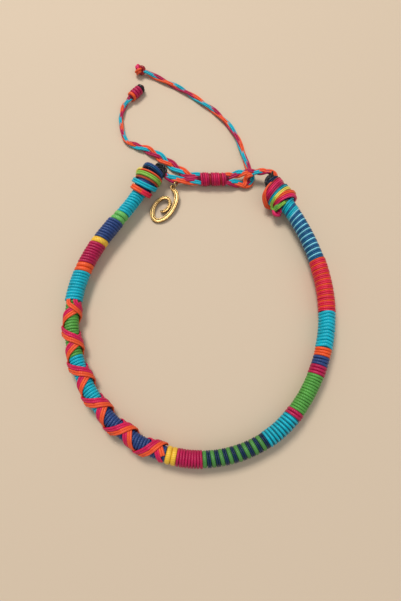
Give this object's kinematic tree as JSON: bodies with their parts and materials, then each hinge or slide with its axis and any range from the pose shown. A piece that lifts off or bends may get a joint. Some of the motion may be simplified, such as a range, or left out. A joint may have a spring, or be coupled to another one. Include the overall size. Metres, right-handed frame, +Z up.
{
  "type": "anklet",
  "caption": "Wrapped-thread anklet: a stiff cord band in coloured thread sections, with braided ties, a sliding knot and a spiral charm.",
  "frame": {"origin": "on the surface that the anklet lies on, below the middle of its box with the two free tails left out", "axes": "+Z up out of the surface and through the ankle opening, +Y from the far side of the band to the ties, +X to the right"},
  "size_m": [0.0792, 0.1341, 0.0087],
  "materials": {
    "core_cord": "twisted black cord",
    "thread_turquoise": "waxed polyester thread, turquoise",
    "thread_green": "waxed polyester thread, green",
    "thread_lime": "waxed polyester thread, light green",
    "thread_navy": "waxed polyester thread, navy",
    "thread_yellow": "waxed polyester thread, yellow",
    "thread_magenta": "waxed polyester thread, magenta",
    "thread_orange": "waxed polyester thread, orange",
    "thread_red": "waxed polyester thread, red-pink",
    "tie_braid": "three-strand braid in turquoise, orange and magenta",
    "charm_metal": "polished gold-coloured metal",
    "ring_metal": "polished gold-coloured wire"
  },
  "bodies": {
    "root": {"core": "core_cord", "wound_turquoise_1": "thread_turquoise", "wound_green_1": "thread_green", "wound_navy_1": "thread_navy", "wound_yellow_1": "thread_yellow", "wound_magenta_1": "thread_magenta", "wound_orange_1": "thread_orange", "wound_turquoise_2": "thread_turquoise", "crossed_green": "thread_green", "crossed_turquoise": "thread_turquoise", "crossed_navy": "thread_navy", "wound_yellow_2": "thread_yellow", "wound_magenta_2": "thread_magenta", "striped_green_navy": "thread_green", "wound_turquoise_3": "thread_turquoise", "wound_magenta_3": "thread_magenta", "wound_green_2": "thread_green", "wound_magenta_4": "thread_magenta", "wound_navy_2": "thread_navy", "wound_orange_2": "thread_orange", "wound_turquoise_4": "thread_turquoise", "wound_red": "thread_red", "striped_navy_blue": "thread_navy", "wound_turquoise_5": "thread_turquoise", "cross_over_magenta": "thread_magenta", "cross_over_orange": "thread_orange", "cross_under_magenta": "thread_magenta", "cross_under_orange": "thread_orange", "left_knob_mound": "thread_navy", "right_knob_mound": "thread_navy", "left_wrap_orange": "thread_orange", "left_wrap_turquoise": "thread_turquoise", "left_wrap_thin_orange_1": "thread_orange", "left_wrap_lime": "thread_lime", "left_wrap_thin_orange_2": "thread_orange", "left_wrap_navy": "thread_navy", "right_wrap_green": "thread_green", "right_wrap_pink": "thread_magenta", "right_wrap_orange": "thread_orange", "right_wrap_yellow": "thread_yellow", "right_wrap_teal": "thread_turquoise", "right_wrap_magenta": "thread_magenta", "right_wrap_navy": "thread_navy", "left_tip": "core_cord", "right_tip": "core_cord", "left_tie": "tie_braid", "right_tie": "tie_braid", "tie_turn": "tie_braid", "sliding_knot": "thread_magenta", "long_tail": "tie_braid", "short_tail": "tie_braid", "long_tail_knot": "thread_orange", "short_tail_knot": "thread_magenta", "spiral_charm": "charm_metal", "jump_ring": "ring_metal"}
  },
  "joints": []
}
